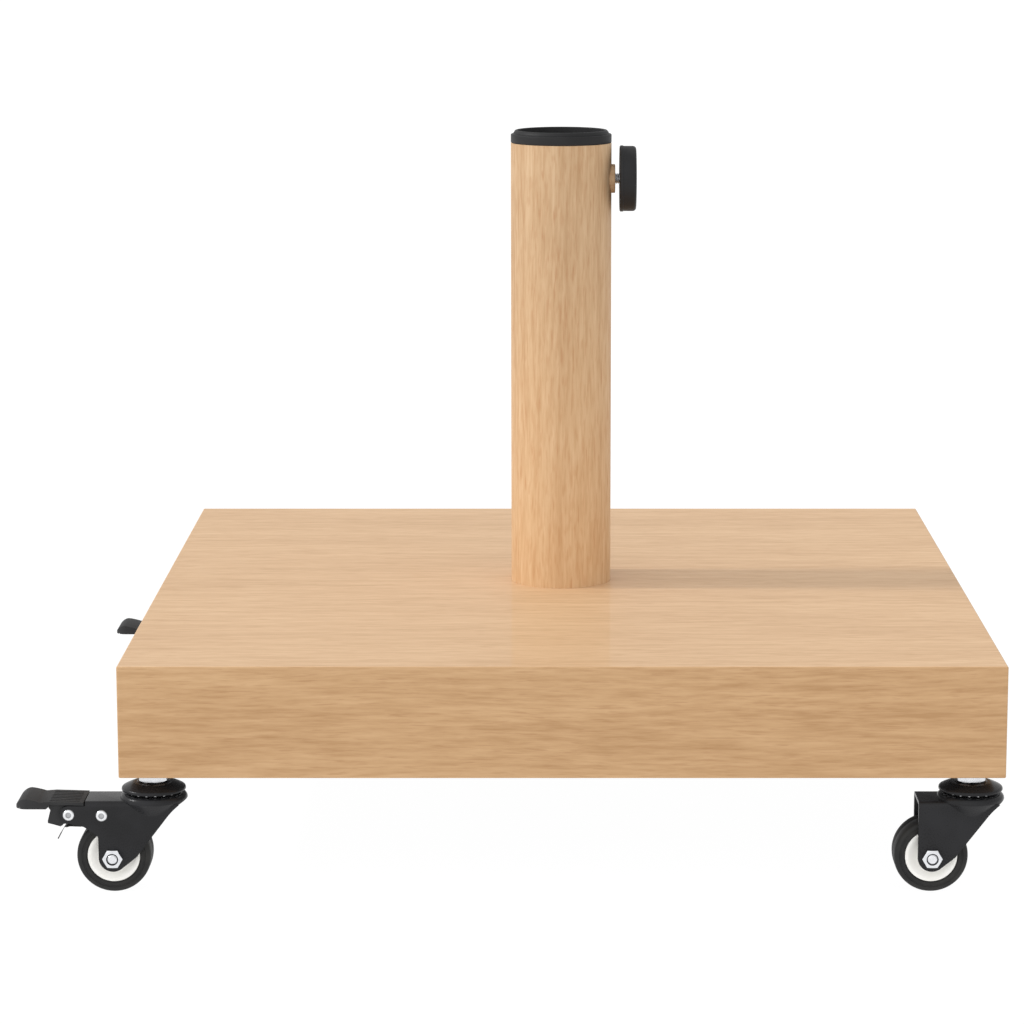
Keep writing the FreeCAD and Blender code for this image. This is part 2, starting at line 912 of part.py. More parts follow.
def save_caster_tops():
    save("caster_inserts", at_all_corners(caster_insert()))
    save("caster_lock_nuts", at_all_corners(lock_nut()))
    save("caster_stems", at_all_corners(caster_stem()))
    save("caster_domes", at_all_corners(caster_dome()))
    save("caster_balls", at_all_corners(ball_race()))
    save("kingpin_washers", at_all_corners(kingpin_washer()))


def save_caster(corner):
    braked = corner in BRAKED
    pieces = {
        "fork": fork(braked),
        "axle_bolt": axle_bolt(),
        "axle_nut": axle_nut(),
        "axle_sleeve": axle_sleeve(),
        "hub": hub(),
        "tyre": tyre(),
    }
    if braked:
        pieces["brake_rivets"] = brake_rivets()
        pieces["brake_pedal"] = brake_pedal()
        pieces["brake_leaf"] = brake_leaf()
    for name, shape in pieces.items():
        save(corner + "_" + name, at_corner(shape, corner))


os.makedirs("parts", exist_ok=True)
save_box()
save_post()
save_clamp()
save_caster_tops()
for corner_name in CORNERS:
    save_caster(corner_name)
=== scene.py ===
import json
import math

import bpy
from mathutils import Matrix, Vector


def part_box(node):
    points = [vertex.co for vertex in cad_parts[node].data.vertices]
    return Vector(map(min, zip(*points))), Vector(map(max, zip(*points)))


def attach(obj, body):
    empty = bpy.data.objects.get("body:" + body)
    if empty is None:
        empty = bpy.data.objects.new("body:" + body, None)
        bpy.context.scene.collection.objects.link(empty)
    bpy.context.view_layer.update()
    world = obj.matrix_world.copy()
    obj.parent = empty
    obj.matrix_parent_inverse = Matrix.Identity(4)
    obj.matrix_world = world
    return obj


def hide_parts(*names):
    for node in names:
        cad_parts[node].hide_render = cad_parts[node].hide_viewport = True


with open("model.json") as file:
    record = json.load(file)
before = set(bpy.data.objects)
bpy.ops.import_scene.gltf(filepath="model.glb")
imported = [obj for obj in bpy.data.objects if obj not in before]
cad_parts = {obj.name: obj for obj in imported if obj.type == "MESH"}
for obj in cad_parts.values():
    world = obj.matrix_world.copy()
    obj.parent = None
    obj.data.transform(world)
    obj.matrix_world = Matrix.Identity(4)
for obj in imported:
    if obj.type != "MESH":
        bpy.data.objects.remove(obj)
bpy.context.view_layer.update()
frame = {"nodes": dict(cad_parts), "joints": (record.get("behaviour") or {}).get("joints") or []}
nodes = frame["nodes"]
corners = ("front_left", "front_right", "back_left", "back_right")
brakedCorners = ("front_left", "back_left")
mm = 0.001
jointPlaces = {joint["name"]: Vector(joint["pos_m"]) for joint in frame["joints"] if "pos_m" in joint}
print("frame loaded:", len(nodes), "nodes")


# Shader maths: a socket that adds its own Math nodes when it is used in an expression

class Signal:
    def __init__(self, finish, socket):
        self.finish = finish
        self.socket = socket

    def maths(self, operation, first, second):
        return self.finish.add("ShaderNodeMath", {"operation": operation}, {0: first, 1: second}, "Value")

    def __add__(self, other):
        return self.maths("ADD", self, other)

    def __radd__(self, other):
        return self.maths("ADD", other, self)

    def __sub__(self, other):
        return self.maths("SUBTRACT", self, other)

    def __rsub__(self, other):
        return self.maths("SUBTRACT", other, self)

    def __mul__(self, other):
        return self.maths("MULTIPLY", self, other)

    def __rmul__(self, other):
        return self.maths("MULTIPLY", other, self)


class Finish:
    def __init__(self, name, **constants):
        self.material = bpy.data.materials.new(name)
        self.material.use_nodes = True
        self.tree = self.material.node_tree
        self.shader = self.tree.nodes["Principled BSDF"]
        for socket, value in constants.items():
            self.shader.inputs[socket.replace("_", " ")].default_value = value
        self.place = self.add("ShaderNodeTexCoord", {}, {}, "Object")

    def add(self, kind, settings, sockets, output):
        node = self.tree.nodes.new(kind)
        for key, value in settings.items():
            if key == "stops":
                self.fillRamp(node.color_ramp, value)
            else:
                setattr(node, key, value)
        for key, value in sockets.items():
            if isinstance(value, Signal):
                self.tree.links.new(value.socket, node.inputs[key])
            else:
                node.inputs[key].default_value = value
        return Signal(self, node.outputs[output])

    def fillRamp(self, ramp, stops):
        while len(ramp.elements) < len(stops):
            ramp.elements.new(1.0)
        for element, (position, colour) in zip(ramp.elements, stops):
            element.position = position
            element.color = (*colour, 1.0)

    def stretched(self, scale):
        return self.add("ShaderNodeMapping", {}, {"Vector": self.place, "Scale": scale}, "Vector")

    def noise(self, where, scale, detail=3.0, roughness=0.55):
        sockets = {"Vector": where, "Scale": scale, "Detail": detail, "Roughness": roughness}
        return self.add("ShaderNodeTexNoise", {}, sockets, "Fac")

    def span(self, value, low, high, newLow=0.0, newHigh=1.0):
        sockets = {"Value": value, "From Min": low, "From Max": high, "To Min": newLow, "To Max": newHigh}
        return self.add("ShaderNodeMapRange", {}, sockets, "Result")

    def ramp(self, value, stops):
        return self.add("ShaderNodeValToRGB", {"stops": stops}, {"Fac": value}, "Color")

    def tint(self, amount, colour, other, blend="MIX"):
        settings = {"data_type": "RGBA", "blend_type": blend}
        return self.add("ShaderNodeMix", settings, {0: amount, 6: colour, 7: other}, 2)

    def colour(self, value):
        self.tree.links.new(value.socket, self.shader.inputs["Base Color"])

    def roughness(self, value):
        self.tree.links.new(value.socket, self.shader.inputs["Roughness"])

    def relief(self, height, distance, strength=1.0):
        bump = self.add("ShaderNodeBump", {}, {"Height": height, "Distance": distance, "Strength": strength},
                        "Normal")
        self.tree.links.new(bump.socket, self.shader.inputs["Normal"])


# Wood: oak in layers, from broad figure down to pores. A layer is its marks to the metre across the grain,
# how drawn out it is along the grain, and its noise's detail and roughness

oakGrain = {
    "wave": (11.0, 2.0),      # the slow sway of the grain
    "waveDraw": 0.35,
    "waveDepth": 10.0 * mm,
    "broad": (26.0, 0.16, 2.0, 0.5),
    "bands": (170.0, 0.06, 3.0, 0.55),
    "streaks": (620.0, 0.075, 3.0, 0.6),
    "pores": (1050.0, 0.07, 2.0, 0.5),
    "flecks": (760.0, 0.13, 1.0, 0.4),
    "broadShare": 0.20,
    "bandShare": 0.35,
    "streakShare": 0.45,
    "tones": (0.37, 0.64),      # the part of the layers' sum that runs from pale to dark
    "poreEdge": (0.57, 0.70),
    "fleckEdge": (0.55, 0.66),
    "poreShare": 0.35,
    "rough": 0.58,
    "streakRough": 0.12,
    "markRough": 0.15,
    "streakHeight": 0.4,
    "height": 0.06 * mm,
    "heightStrength": 0.5,
    "shine": 0.25,
    "coatRough": 0.06,
    "coatIor": 1.45,
}
oakColours = {
    # painted light: the top's colours are the edges' oak made lighter and less saturated, a lit copy for the
    # upward face
    "top": {
        "pale": (0.753, 0.506, 0.296),
        "middle": (0.688, 0.449, 0.254),
        "dark": (0.608, 0.383, 0.209),
        "pore": (0.47, 0.265, 0.130),
        "fleckShare": 0.05,
        "coat": 0.19,
        "sway": 1.0,
    },
    "edge": {
        "pale": (0.611, 0.387, 0.205),
        "middle": (0.542, 0.330, 0.167),
        "dark": (0.452, 0.261, 0.122),
        "pore": (0.38, 0.200, 0.088),
        "fleckShare": 0.07,
        "coat": 0.10,
        "sway": 1.0,
    },
    "post": {
        "pale": (0.637, 0.446, 0.271),
        "middle": (0.569, 0.380, 0.219),
        "dark": (0.480, 0.296, 0.156),
        "pore": (0.42, 0.205, 0.092),
        "fleckShare": 0.25,
        "coat": 0.04,
        "sway": 0.45,
        "foot": (0.145, 0.315),      # painted light: paler towards the foot, lifting the shade that the base casts near the post's foot
        "footPale": (0.86, 0.72, 0.62),
        "footShare": 0.62,
    },
}


def alongGrain(axis, share):
    return tuple(share if n == axis else 1.0 for n in range(3))


def oakFinish(name, axis, drift, colours):
    finish = Finish(name, Specular_IOR_Level=oakGrain["shine"], Coat_Weight=colours["coat"],
                    Coat_Roughness=oakGrain["coatRough"], Coat_IOR=oakGrain["coatIor"])
    sway = finish.noise(finish.stretched(alongGrain(axis, oakGrain["waveDraw"])), *oakGrain["wave"])
    push = (oakGrain["waveDepth"] * colours["sway"],) * 3
    swayed = finish.add("ShaderNodeVectorMath", {"operation": "MULTIPLY_ADD"},
                        {0: sway, 1: push, 2: finish.place}, "Vector")
    moved = finish.add("ShaderNodeVectorMath", {"operation": "ADD"}, {0: swayed, 1: drift}, "Vector")

    def layer(part):
        size, share, detail, roughness = oakGrain[part]
        drawn = finish.add("ShaderNodeMapping", {}, {"Vector": moved, "Scale": alongGrain(axis, share)},
                           "Vector")
        return finish.noise(drawn, size, detail, roughness)

    streaks = layer("streaks")
    grain = (layer("broad") * oakGrain["broadShare"] + layer("bands") * oakGrain["bandShare"]
             + streaks * oakGrain["streakShare"])
    pores = finish.span(layer("pores"), *oakGrain["poreEdge"])
    flecks = finish.span(layer("flecks"), *oakGrain["fleckEdge"])
    marks = pores * oakGrain["poreShare"] + flecks * colours["fleckShare"]
    stops = [(0.0, colours["pale"]), (0.5, colours["middle"]), (1.0, colours["dark"])]
    wood = finish.ramp(finish.span(grain, *oakGrain["tones"]), stops)
    wood = finish.tint(marks, wood, (*colours["pore"], 1.0))
    # painted light: the post's colour is lightened towards its foot, against the shade near the base
    if "foot" in colours:
        height = finish.add("ShaderNodeSeparateXYZ", {}, {0: finish.place}, "Z")
        paintedFootLight = finish.span(height, *colours["foot"], colours["footShare"], 0.0)
        wood = finish.tint(paintedFootLight, wood, (*colours["footPale"], 1.0), "SOFT_LIGHT")
    finish.colour(wood)
    finish.roughness(oakGrain["rough"] + streaks * oakGrain["streakRough"] + marks * oakGrain["markRough"])
    finish.relief(streaks * oakGrain["streakHeight"] - marks, oakGrain["height"], oakGrain["heightStrength"])
    return finish.material


# In the settings below a noise is its size in spots to the metre, its detail and its roughness

boardSettings = {
    "shine": 0.3,
    "fibres": (260.0, 4.0, 0.6),
    "fibreDraw": (0.08, 1.0, 1.0),
    "patches": (14.0, 3.0),
    "fibreShare": 0.7,
    "rough": 0.65,
    "fibreRough": 0.2,
    "fibreHeight": 0.1 * mm,
}


def boardFinish(name, pale, dark):
    finish = Finish(name, Specular_IOR_Level=boardSettings["shine"])
    fibres = finish.noise(finish.stretched(boardSettings["fibreDraw"]), *boardSettings["fibres"])
    patches = finish.noise(finish.place, *boardSettings["patches"])
    share = boardSettings["fibreShare"]
    finish.colour(finish.ramp(fibres * share + patches * (1 - share), [(0.3, pale), (0.7, dark)]))
    finish.roughness(boardSettings["rough"] + fibres * boardSettings["fibreRough"])
    finish.relief(fibres, boardSettings["fibreHeight"], 0.5)
    return finish.material


# Plastics, rubber and metals

mouldedSettings = {
    "shine": 0.24,
    "grain": (2600.0, 2.0, 0.5),
    "patches": (60.0, 3.0),
    "grainRough": 0.10,
    "patchRough": 0.08,
    "grainHeight": 0.04 * mm,
}


def mouldedFinish(name, dark, light, rough):
    finish = Finish(name, Specular_IOR_Level=mouldedSettings["shine"])
    grain = finish.noise(finish.place, *mouldedSettings["grain"])
    patches = finish.noise(finish.place, *mouldedSettings["patches"])
    finish.colour(finish.ramp(patches, [(0.35, dark), (0.65, light)]))
    finish.roughness(rough + grain * mouldedSettings["grainRough"] + patches * mouldedSettings["patchRough"])
    finish.relief(grain, mouldedSettings["grainHeight"], 0.35)
    return finish.material


coatedSteelSettings = {
    "shine": 0.22,
    "dark": (0.012, 0.012, 0.013),
    "light": (0.018, 0.018, 0.020),
    "peel": (900.0, 2.0, 0.45),
    "patches": (45.0, 3.0),
    "rough": 0.20,
    "peelRough": 0.10,
    "patchRough": 0.06,
    "peelHeight": 0.05 * mm,
}


def coatedSteelFinish():
    settings = coatedSteelSettings
    finish = Finish("blackCoatedSteel", Specular_IOR_Level=settings["shine"])
    peel = finish.noise(finish.place, *settings["peel"])
    patches = finish.noise(finish.place, *settings["patches"])
    finish.colour(finish.ramp(patches, [(0.35, settings["dark"]), (0.65, settings["light"])]))
    finish.roughness(settings["rough"] + peel * settings["peelRough"] + patches * settings["patchRough"])
    finish.relief(peel, settings["peelHeight"], 0.3)
    return finish.material


zincSettings = {
    "dull": (0.70, 0.71, 0.74),
    "bright": (0.84, 0.85, 0.87),
    "cloud": (700.0, 3.0, 0.6),
    "scuffs": (2400.0, 3.0, 0.6),
    "scuffDraw": (1.0, 1.0, 0.2),
    "cloudShare": 0.6,
    "scuffShare": 0.4,
    "rough": 0.20,
    "scuffRough": 0.10,
    "scuffHeight": 0.01 * mm,
}


def zincFinish():
    settings = zincSettings
    finish = Finish("brightZinc", Metallic=1.0)
    cloud = finish.noise(finish.place, *settings["cloud"])
    scuffs = finish.noise(finish.stretched(settings["scuffDraw"]), *settings["scuffs"])
    tone = cloud * settings["cloudShare"] + scuffs * settings["scuffShare"]
    finish.colour(finish.ramp(tone, [(0.3, settings["dull"]), (0.7, settings["bright"])]))
    finish.roughness(settings["rough"] + scuffs * settings["scuffRough"])
    finish.relief(scuffs, settings["scuffHeight"], 0.2)
    return finish.material


rivetSettings = {
    "dull": (0.74, 0.75, 0.77),
    "bright": (0.86, 0.87, 0.88),
    "scuffs": (2400.0, 3.0, 0.6),
    "hollow": (0.38 * mm, 0.60 * mm),      # this far below the head's crown the zinc is darkened: painted shade in the rivet's recess
    "hollowShare": 0.50,
    "hollowColour": (0.11, 0.11, 0.115),
    "rough": 0.18,
    "scuffRough": 0.10,
    "hollowRough": 0.25,
}


def rivetFinish(node):
    settings = rivetSettings
    finish = Finish("rivetZinc" + node.title().replace("_", ""), Metallic=1.0)
    low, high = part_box(node)
    across = finish.add("ShaderNodeSeparateXYZ", {}, {0: finish.place}, "Y")
    offset = across - (low.y + high.y) / 2
    fromMiddle = finish.add("ShaderNodeMath", {"operation": "ABSOLUTE"}, {0: offset}, 0)
    depth = (high.y - low.y) / 2 - fromMiddle
    scuffs = finish.noise(finish.place, *settings["scuffs"])
    plated = finish.ramp(scuffs, [(0.3, settings["dull"]), (0.7, settings["bright"])])
    # painted shade: the recess inside each rivet head is tinted dark by its depth
    hollow = finish.span(depth, *settings["hollow"])
    finish.colour(finish.tint(hollow * settings["hollowShare"], plated, (*settings["hollowColour"], 1.0)))
    finish.roughness(settings["rough"] + scuffs * settings["scuffRough"] + hollow * settings["hollowRough"])
    return finish.material


ballSettings = {
    "dull": (0.70, 0.71, 0.72),
    "bright": (0.86, 0.86, 0.87),
    "film": (700.0, 2.0),
    "rough": 0.06,
    "filmRough": 0.10,
}


def ballFinish():
    finish = Finish("polishedBalls", Metallic=1.0)
    film = finish.noise(finish.place, *ballSettings["film"])
    finish.colour(finish.ramp(film, [(0.3, ballSettings["dull"]), (0.7, ballSettings["bright"])]))
    finish.roughness(ballSettings["rough"] + film * ballSettings["filmRough"])
    return finish.material


springSettings = {
    "shine": 0.2,
    "dark": (0.006, 0.006, 0.006),
    "light": (0.012, 0.012, 0.013),
    "oil": (220.0, 3.0),
    "rough": 0.28,
    "oilRough": 0.15,
    "oilHeight": 0.03 * mm,
}


def springFinish():
    finish = Finish("oilBlackSpringSteel", Specular_IOR_Level=springSettings["shine"])
    oil = finish.noise(finish.place, *springSettings["oil"])
    finish.colour(finish.ramp(oil, [(0.3, springSettings["dark"]), (0.7, springSettings["light"])]))
    finish.roughness(springSettings["rough"] + oil * springSettings["oilRough"])
    finish.relief(oil, springSettings["oilHeight"], 0.3)
    return finish.material


hubFinishSettings = {
    "shine": 0.5,
    "coat": 0.2,
    "coatRough": 0.2,
    "white": (0.97, 0.96, 0.925),
    "cream": (0.93, 0.915, 0.865),
    "cloud": (150.0, 3.0),
    "grain": (1800.0, 2.0),
    "rough": 0.30,
    "cloudRough": 0.12,
    "grainHeight": 0.03 * mm,
}


def hubFinish():
    settings = hubFinishSettings
    finish = Finish("creamHub", Specular_IOR_Level=settings["shine"], Coat_Weight=settings["coat"],
                    Coat_Roughness=settings["coatRough"])
    cloud = finish.noise(finish.place, *settings["cloud"])
    finish.colour(finish.ramp(cloud, [(0.3, settings["white"]), (0.7, settings["cream"])]))
    finish.roughness(settings["rough"] + cloud * settings["cloudRough"])
    finish.relief(finish.noise(finish.place, *settings["grain"]), settings["grainHeight"], 0.25)
    return finish.material


tyreFinishSettings = {
    "shine": 0.3,
    "rubber": (0.012, 0.012, 0.012),
    "dusty": (0.028, 0.027, 0.025),
    "grain": (1400.0, 3.0, 0.6),
    "dust": (90.0, 4.0, 0.6),
    "rough": 0.48,
    "dustRough": 0.22,
    "grainHeight": 0.06 * mm,
}


def tyreFinish():
    settings = tyreFinishSettings
    finish = Finish("blackTyre", Specular_IOR_Level=settings["shine"])
    grain = finish.noise(finish.place, *settings["grain"])
    dust = finish.noise(finish.place, *settings["dust"])
    finish.colour(finish.ramp(dust, [(0.4, settings["rubber"]), (0.75, settings["dusty"])]))
    finish.roughness(settings["rough"] + dust * settings["dustRough"])
    finish.relief(grain, settings["grainHeight"], 0.4)
    return finish.material


concreteSettings = {
    "shine": 0.3,
    "dark": (0.30, 0.29, 0.27),
    "light": (0.46, 0.45, 0.42),
    "sand": (380.0, 4.0, 0.65),
    "cloud": (18.0, 3.0),
    "rough": 0.8,
    "sandRough": 0.15,
    "sandHeight": 0.4 * mm,
}


def concreteFinish():
    settings = concreteSettings
    finish = Finish("castConcrete", Specular_IOR_Level=settings["shine"])
    sand = finish.noise(finish.place, *settings["sand"])
    cloud = finish.noise(finish.place, *settings["cloud"])
    tone = sand * 0.5 + cloud * 0.5
    finish.colour(finish.ramp(tone, [(0.3, settings["dark"]), (0.7, settings["light"])]))
    finish.roughness(settings["rough"] + sand * settings["sandRough"])
    finish.relief(sand, settings["sandHeight"], 0.6)
    return finish.material


xAxis, yAxis, zAxis = 0, 1, 2
finishes = {
    "topOak": oakFinish("oakTop", xAxis, (0.0, 0.0, 0.0), oakColours["top"]),
    "frontOak": oakFinish("oakFront", xAxis, (1.3, 0.4, 0.2), oakColours["edge"]),
    "sideOak": oakFinish("oakSide", yAxis, (0.7, 2.1, 0.5), oakColours["edge"]),
    "postOak": oakFinish("oakPost", zAxis, (0.3, 0.9, 1.7), oakColours["post"]),
    "board": boardFinish("plywoodFace", (0.56, 0.40, 0.24), (0.42, 0.28, 0.16)),
    "underside": boardFinish("greySealedBoard", (0.135, 0.135, 0.14), (0.105, 0.105, 0.11)),
    "plastic": mouldedFinish("blackPlastic", (0.014, 0.014, 0.015), (0.019, 0.019, 0.020), 0.45),
    "pedal": mouldedFinish("blackPedal", (0.022, 0.022, 0.023), (0.030, 0.030, 0.031), 0.52),
    "steel": coatedSteelFinish(),
    "zinc": zincFinish(),
    "ball": ballFinish(),
    "spring": springFinish(),
    "hub": hubFinish(),
    "tyre": tyreFinish(),
    "concrete": concreteFinish(),
}
nodeFinish = {
    "top_panel": "topOak",
    "front_apron": "frontOak",
    "back_apron": "frontOak",
    "left_apron": "sideOak",
    "right_apron": "sideOak",
    "bottom_panel": "underside",
    "corner_blocks": "board",
    "weight_slabs": "concrete",
    "post_tube": "postOak",
    "clamp_boss": "postOak",
    "post_flange": "steel",
    "pole_collar": "plastic",
    "pole_foot_ring": "plastic",
    "pressure_pad": "plastic",
    "clamp_knob": "plastic",
    "caster_domes": "steel",
    "caster_balls": "ball",
}
cornerFinish = {"fork": "steel", "hub": "hub", "tyre": "tyre", "brake_pedal": "pedal", "brake_leaf": "spring"}


def finishFor(node):
    if node.endswith("_brake_rivets"):
        return rivetFinish(node)
    for part, finish in cornerFinish.items():
        if node.endswith("_" + part) and node.startswith(corners):
            return finishes[finish]
    return finishes[nodeFinish.get(node, "zinc")]


for name, body in nodes.items():
    body.data.materials.clear()
    body.data.materials.append(finishFor(name))
print("finishes on", len(nodes), "nodes")


# Modelling helpers: an outline is drawn point by point, its corners are rounded, and it is spun round an axis

weld = 0.001 * mm      # points closer than this are one point
smoothTo = math.radians(32)      # softer corners than this are shaded smooth


def deselectAll():
    if bpy.context.object and bpy.context.object.mode == "EDIT":
        bpy.ops.object.mode_set(mode="OBJECT")
    bpy.ops.object.select_all(action="DESELECT")


def selectPoints(piece, test):
    bpy.ops.object.mode_set(mode="EDIT")
    bpy.ops.mesh.select_mode(type="VERT")
    bpy.ops.mesh.select_all(action="DESELECT")
    bpy.ops.object.mode_set(mode="OBJECT")
    for vertex in piece.data.vertices:
        vertex.select = test(vertex.co)
    bpy.ops.object.mode_set(mode="EDIT")


def selectFaces(piece, test):
    bpy.ops.object.mode_set(mode="EDIT")
    bpy.ops.mesh.select_mode(type="FACE")
    bpy.ops.mesh.select_all(action="DESELECT")
    bpy.ops.object.mode_set(mode="OBJECT")
    for face in piece.data.polygons:
        face.select = test(face.center)
    bpy.ops.object.mode_set(mode="EDIT")


def near(place, points):
    return any((place - Vector(point)).length < 0.1 * weld for point in points)


def drawOutline(name, points, rounded):
    # a chain of points in metres, closed at the end; rounded gives a radius for a corner's number
    deselectAll()
    bpy.ops.mesh.primitive_plane_add(size=mm, location=points[0])
    piece = bpy.context.object
    piece.name = name
    bpy.ops.object.transform_apply(location=True, rotation=True, scale=True)
    bpy.ops.object.mode_set(mode="EDIT")
    bpy.ops.mesh.select_mode(type="VERT")
    bpy.ops.mesh.select_all(action="SELECT")
    bpy.ops.mesh.merge(type="CENTER")
    for here, there in zip(points, points[1:]):
        step = Vector(there) - Vector(here)
        bpy.ops.mesh.extrude_vertices_move(TRANSFORM_OT_translate={"value": step})
    selectPoints(piece, lambda place: near(place, (points[0], points[-1])))
    bpy.ops.mesh.edge_face_add()
    for corner, radius in rounded.items():
        selectPoints(piece, lambda place: near(place, (points[corner],)))
        bpy.ops.mesh.bevel(offset=radius, segments=4, affect="VERTICES")
    return piece


def spinOutline(piece, centre, axis, steps):
    bpy.ops.mesh.select_all(action="SELECT")
    bpy.ops.mesh.spin(steps=steps, angle=math.tau, center=centre, axis=axis)
    bpy.ops.mesh.select_all(action="SELECT")
    bpy.ops.mesh.remove_doubles(threshold=weld)
    bpy.ops.mesh.normals_make_consistent(inside=False)
    bpy.ops.object.mode_set(mode="OBJECT")


def pickUp(piece):
    deselectAll()
    piece.select_set(True)
    bpy.context.view_layer.objects.active = piece


def finishPiece(piece, finish, body, nodes):
    pickUp(piece)
    bpy.ops.object.shade_smooth_by_angle(angle=smoothTo)
    piece.data.materials.append(finishes[finish])
    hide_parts(*nodes)
    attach(piece, body)


def copyOf(master, name):
    piece = master.copy()
    piece.data = master.data.copy()
    piece.name = name
    bpy.context.scene.collection.objects.link(piece)
    pickUp(piece)
    return piece


def copyTo(master, name, place):
    piece = copyOf(master, name)
    piece.location = place
    bpy.ops.object.transform_apply(location=True, rotation=False, scale=False)
    return piece


# The drill comes in from the knob's side and stops inside the tube

drillSettings = {
    "inner": 19.0 * mm,
    "outer": 35.0 * mm,
    "sides": 48,
}


def drillForScrew(piece, clearance):
    low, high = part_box("clamp_screw")
    radius = (high.z - low.z) / 2 + clearance
    inner, outer = drillSettings["inner"], drillSettings["outer"]
    middle = ((inner + outer) / 2, 0, (low.z + high.z) / 2)
    deselectAll()
    bpy.ops.mesh.primitive_cylinder_add(vertices=drillSettings["sides"], radius=radius, depth=outer - inner,
                                        rotation=(0, math.pi / 2, 0), location=middle)
    drill = bpy.context.object
    hole = piece.modifiers.new("screwHole", "BOOLEAN")
    hole.operation = "DIFFERENCE"
    hole.solver = "EXACT"
    hole.object = drill
    pickUp(piece)
    bpy.ops.object.modifier_apply(modifier="screwHole")
    bpy.data.objects.remove(drill)


# Post: the tube with its wood film, which meets in a seam at the back

postSettings = {
    "wall": 1.5 * mm,
    "topEase": 0.4 * mm,
    "segments": 144,
    "seamSide": 0.35 * mm,
    "seamDepth": 0.12 * mm,
    "screwGap": 0.25 * mm,
}


def makePost():
    low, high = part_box("post_tube")
    outer = high.x
    inner = outer - postSettings["wall"]
    points = [(outer, 0, low.z), (outer, 0, high.z), (inner, 0, high.z), (inner, 0, low.z)]
    ease = postSettings["topEase"]
    piece = drawOutline("postTube", points, {1: ease, 2: ease})
    spinOutline(piece, (0, 0, 0), (0, 0, 1), postSettings["segments"])
    middle = (low.z + high.z) / 2
    step = math.tau / postSettings["segments"]

    def atBack(centre):
        turn = math.atan2(centre.x, centre.y)
        return centre.y > inner and abs(centre.z - middle) < mm and 0 < turn < step

    selectFaces(piece, atBack)
    bpy.ops.mesh.inset(thickness=postSettings["seamSide"], depth=-postSettings["seamDepth"])
    bpy.ops.object.mode_set(mode="OBJECT")
    drillForScrew(piece, postSettings["screwGap"])
    finishPiece(piece, "postOak", "base", ["post_tube"])


# Collar: a rim as wide as the post, a stepped lip on it, and the sleeve inside

collarSettings = {
    "rim": 4.8 * mm,
    "lip": 7.0 * mm,
    "lipInset": 1.4 * mm,
    "lipRise": 0.5 * mm,
    "lipSlope": 1.1 * mm,
    "bore": 24.25 * mm,
    "sleeveGap": 0.1 * mm,
    "foot": 0.35 * mm,      # a shadow line where the rim meets the tube
    "footIn": 0.6 * mm,
    "screwGap": 0.6 * mm,
    "segments": 144,
}


def makeCollar():
    low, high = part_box("pole_collar")
    outer = high.x
    bottom = high.z - collarSettings["lip"]
    rimTop = bottom + collarSettings["rim"]
    sleeve = outer - postSettings["wall"] - collarSettings["sleeveGap"]
    bore = collarSettings["bore"]
    foot = collarSettings["foot"]
    lip = outer - collarSettings["lipInset"]
    lipTop = lip - collarSettings["lipSlope"]
    points = [
        (bore, 0, low.z),
        (sleeve, 0, low.z),
        (sleeve, 0, bottom),
        (outer - collarSettings["footIn"], 0, bottom),
        (outer - collarSettings["footIn"], 0, bottom + foot),
        (outer, 0, bottom + foot),
        (outer, 0, rimTop),
        (lip, 0, rimTop),
        (lip, 0, rimTop + collarSettings["lipRise"]),
        (lipTop, 0, high.z),
        (bore, 0, high.z),
    ]
    rounded = {5: 0.15 * mm, 6: 0.55 * mm, 7: 0.2 * mm, 8: 0.3 * mm, 9: 0.6 * mm, 10: 0.5 * mm}
    piece = drawOutline("poleCollar", points, rounded)
    spinOutline(piece, (0, 0, 0), (0, 0, 1), collarSettings["segments"])
    drillForScrew(piece, collarSettings["screwGap"])
    finishPiece(piece, "plastic", "base", ["pole_collar"])


# Clamp knob: thin flange, plain rim, and a dished face with a ring step and a raised button

knobSettings = {
    "flange": 2.0 * mm,
    "flangeStep": 0.3 * mm,
    "rimEase": 1.9 * mm,
    "land": 2.2 * mm,
    "dish": 1.3 * mm,
    "dishSlope": 0.8 * mm,
    "button": 5.0 * mm,
    "buttonSlope": 0.5 * mm,
    "buttonRise": 0.7 * mm,
    "shank": 3.0 * mm,
    "shankDeep": 6.0 * mm,
    "segments": 128,
}


def makeKnob():
    low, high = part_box("clamp_knob")
    middle = (low.z + high.z) / 2
    radius = (high.z - low.z) / 2
    flange = low.x + knobSettings["flange"]
    rim = radius - knobSettings["flangeStep"]
    land = rim - knobSettings["rimEase"] - knobSettings["land"]
    floor = high.x - knobSettings["dish"]
    button = knobSettings["button"]
    buttonTop = floor + knobSettings["buttonRise"]
    shank = knobSettings["shank"]
    shankEnd = low.x + knobSettings["shankDeep"]
    outline = [
        (low.x, shank),
        (low.x, radius),
        (flange, radius),
        (flange, rim),
        (high.x, rim),
        (high.x, land),
        (floor, land - knobSettings["dishSlope"]),
        (floor, button),
        (buttonTop, button - knobSettings["buttonSlope"]),
        (buttonTop, 0),
        (shankEnd, 0),
        (shankEnd, shank),
    ]
    rounded = {1: 0.8 * mm, 2: 0.25 * mm, 3: 0.2 * mm, 4: knobSettings["rimEase"], 5: 0.5 * mm,
               6: 0.5 * mm, 7: 0.2 * mm, 8: 0.25 * mm}
    points = [(x, 0, middle + reach) for x, reach in outline]
    piece = drawOutline("clampKnob", points, rounded)
    spinOutline(piece, (0, 0, middle), (1, 0, 0), knobSettings["segments"])
    finishPiece(piece, "plastic", "clamp_handle", ["clamp_knob"])


# Clamp screw: a real thread, one tooth turned along the screw

threadSettings = {
    "pitch": 1.0 * mm,
    "depth": 0.6 * mm,
    "crest": (0.42, 0.56),      # where a tooth's crest begins and ends, in pitches
    "steps": 40,
}


